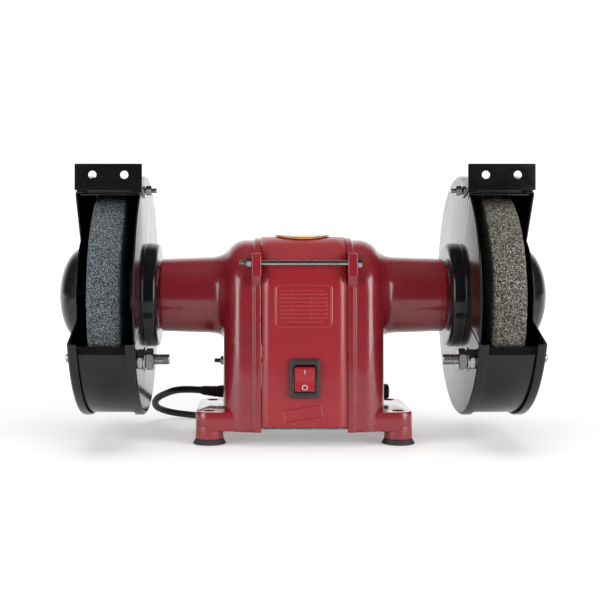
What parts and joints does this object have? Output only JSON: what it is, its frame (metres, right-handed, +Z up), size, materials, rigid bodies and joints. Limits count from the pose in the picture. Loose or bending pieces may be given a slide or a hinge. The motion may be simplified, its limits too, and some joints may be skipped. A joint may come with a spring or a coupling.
{
  "type": "bench grinder",
  "caption": "Bench grinder with abrasive wheels on both ends of an enclosed motor, black sheet guards, red cast body, rocker switch, rubber feet and mains cord.",
  "frame": {"origin": "on the surface the feet stand on, below the middle of the box around the grinder without its cord", "axes": "+X along the shaft to the right-hand wheel, -Y towards the user, +Z up"},
  "size_m": [0.4674, 0.2888, 0.2589],
  "materials": {
    "red_enamel": "gloss",
    "black_enamel": "gloss",
    "zinc": "zinc plated",
    "steel": "ground",
    "lamination": "stamped stack",
    "copper": "enamelled copper wire",
    "grey_grit": "bonded abrasive",
    "brown_grit": "bonded abrasive",
    "paper": "matt",
    "rubber": "moulded",
    "dark_plastic": "moulded",
    "red_plastic": "moulded",
    "cord_sheath": "sheathed cord",
    "can": "drawn",
    "label": "printed film, blank"
  },
  "bodies": {
    "frame": {"back_tie_nut": "zinc", "back_tie_rod": "zinc", "base_plate": "zinc", "blanking_plug": "dark_plastic", "capacitor": "can", "centre_shroud": "red_enamel", "cord_coil": "cord_sheath", "cord_gland": "dark_plastic", "cord_lead": "cord_sheath", "cord_tail": "cord_sheath", "front_tie_nut": "zinc", "front_tie_rod": "zinc", "left_back_cover_screw": "zinc", "left_back_foot": "rubber", "left_bearing": "steel", "left_bracket_bolt": "zinc", "left_end_casting": "red_enamel", "left_front_cover_screw": "zinc", "left_front_foot": "rubber", "left_guard_ring": "zinc", "left_inner_guard": "black_enamel", "left_outer_guard": "black_enamel", "left_rest_stud": "zinc", "left_winding": "copper", "low_tie_nut": "zinc", "low_tie_rod": "zinc", "plug": "dark_plastic", "right_back_cover_screw": "zinc", "right_back_foot": "rubber", "right_bearing": "steel", "right_bracket_bolt": "zinc", "right_end_casting": "red_enamel", "right_front_cover_screw": "zinc", "right_front_foot": "rubber", "right_guard_ring": "zinc", "right_inner_guard": "black_enamel", "right_outer_guard": "black_enamel", "right_rest_stud": "zinc", "right_winding": "copper", "stator_core": "lamination", "switch_frame": "dark_plastic", "top_label": "label"},
    "rotor": {"left_inner_blotter": "paper", "left_inner_flange": "zinc", "left_outer_blotter": "paper", "left_outer_flange": "zinc", "left_shaft_nut": "zinc", "left_wheel": "grey_grit", "right_inner_blotter": "paper", "right_inner_flange": "zinc", "right_outer_blotter": "paper", "right_outer_flange": "zinc", "right_shaft_nut": "zinc", "right_wheel": "brown_grit", "rotor_core": "lamination", "shaft": "steel"},
    "rocker": {"switch_rocker": "red_plastic"},
    "left_bracket": {"left_spark_bracket": "black_enamel"},
    "right_bracket": {"right_spark_bracket": "black_enamel"}
  },
  "joints": [
    {"name": "rotor_spin", "type": "hinge", "parent": "frame", "child": "rotor", "pos_m": [0, -0.00162, 0.137], "axis": [1, 0, 0], "continuous": true},
    {"name": "switch_rock", "type": "hinge", "parent": "frame", "child": "rocker", "pos_m": [0, -0.05862, 0.0626], "axis": [-1, 0, 0], "range_deg": [0, 16]},
    {"name": "left_bracket_tilt", "type": "hinge", "parent": "frame", "child": "left_bracket", "pos_m": [-0.1482, -0.03662, 0.236], "axis": [1, 0, 0], "range_deg": [-10, 8]},
    {"name": "right_bracket_tilt", "type": "hinge", "parent": "frame", "child": "right_bracket", "pos_m": [0.1482, -0.03662, 0.236], "axis": [1, 0, 0], "range_deg": [-10, 8]}
  ]
}
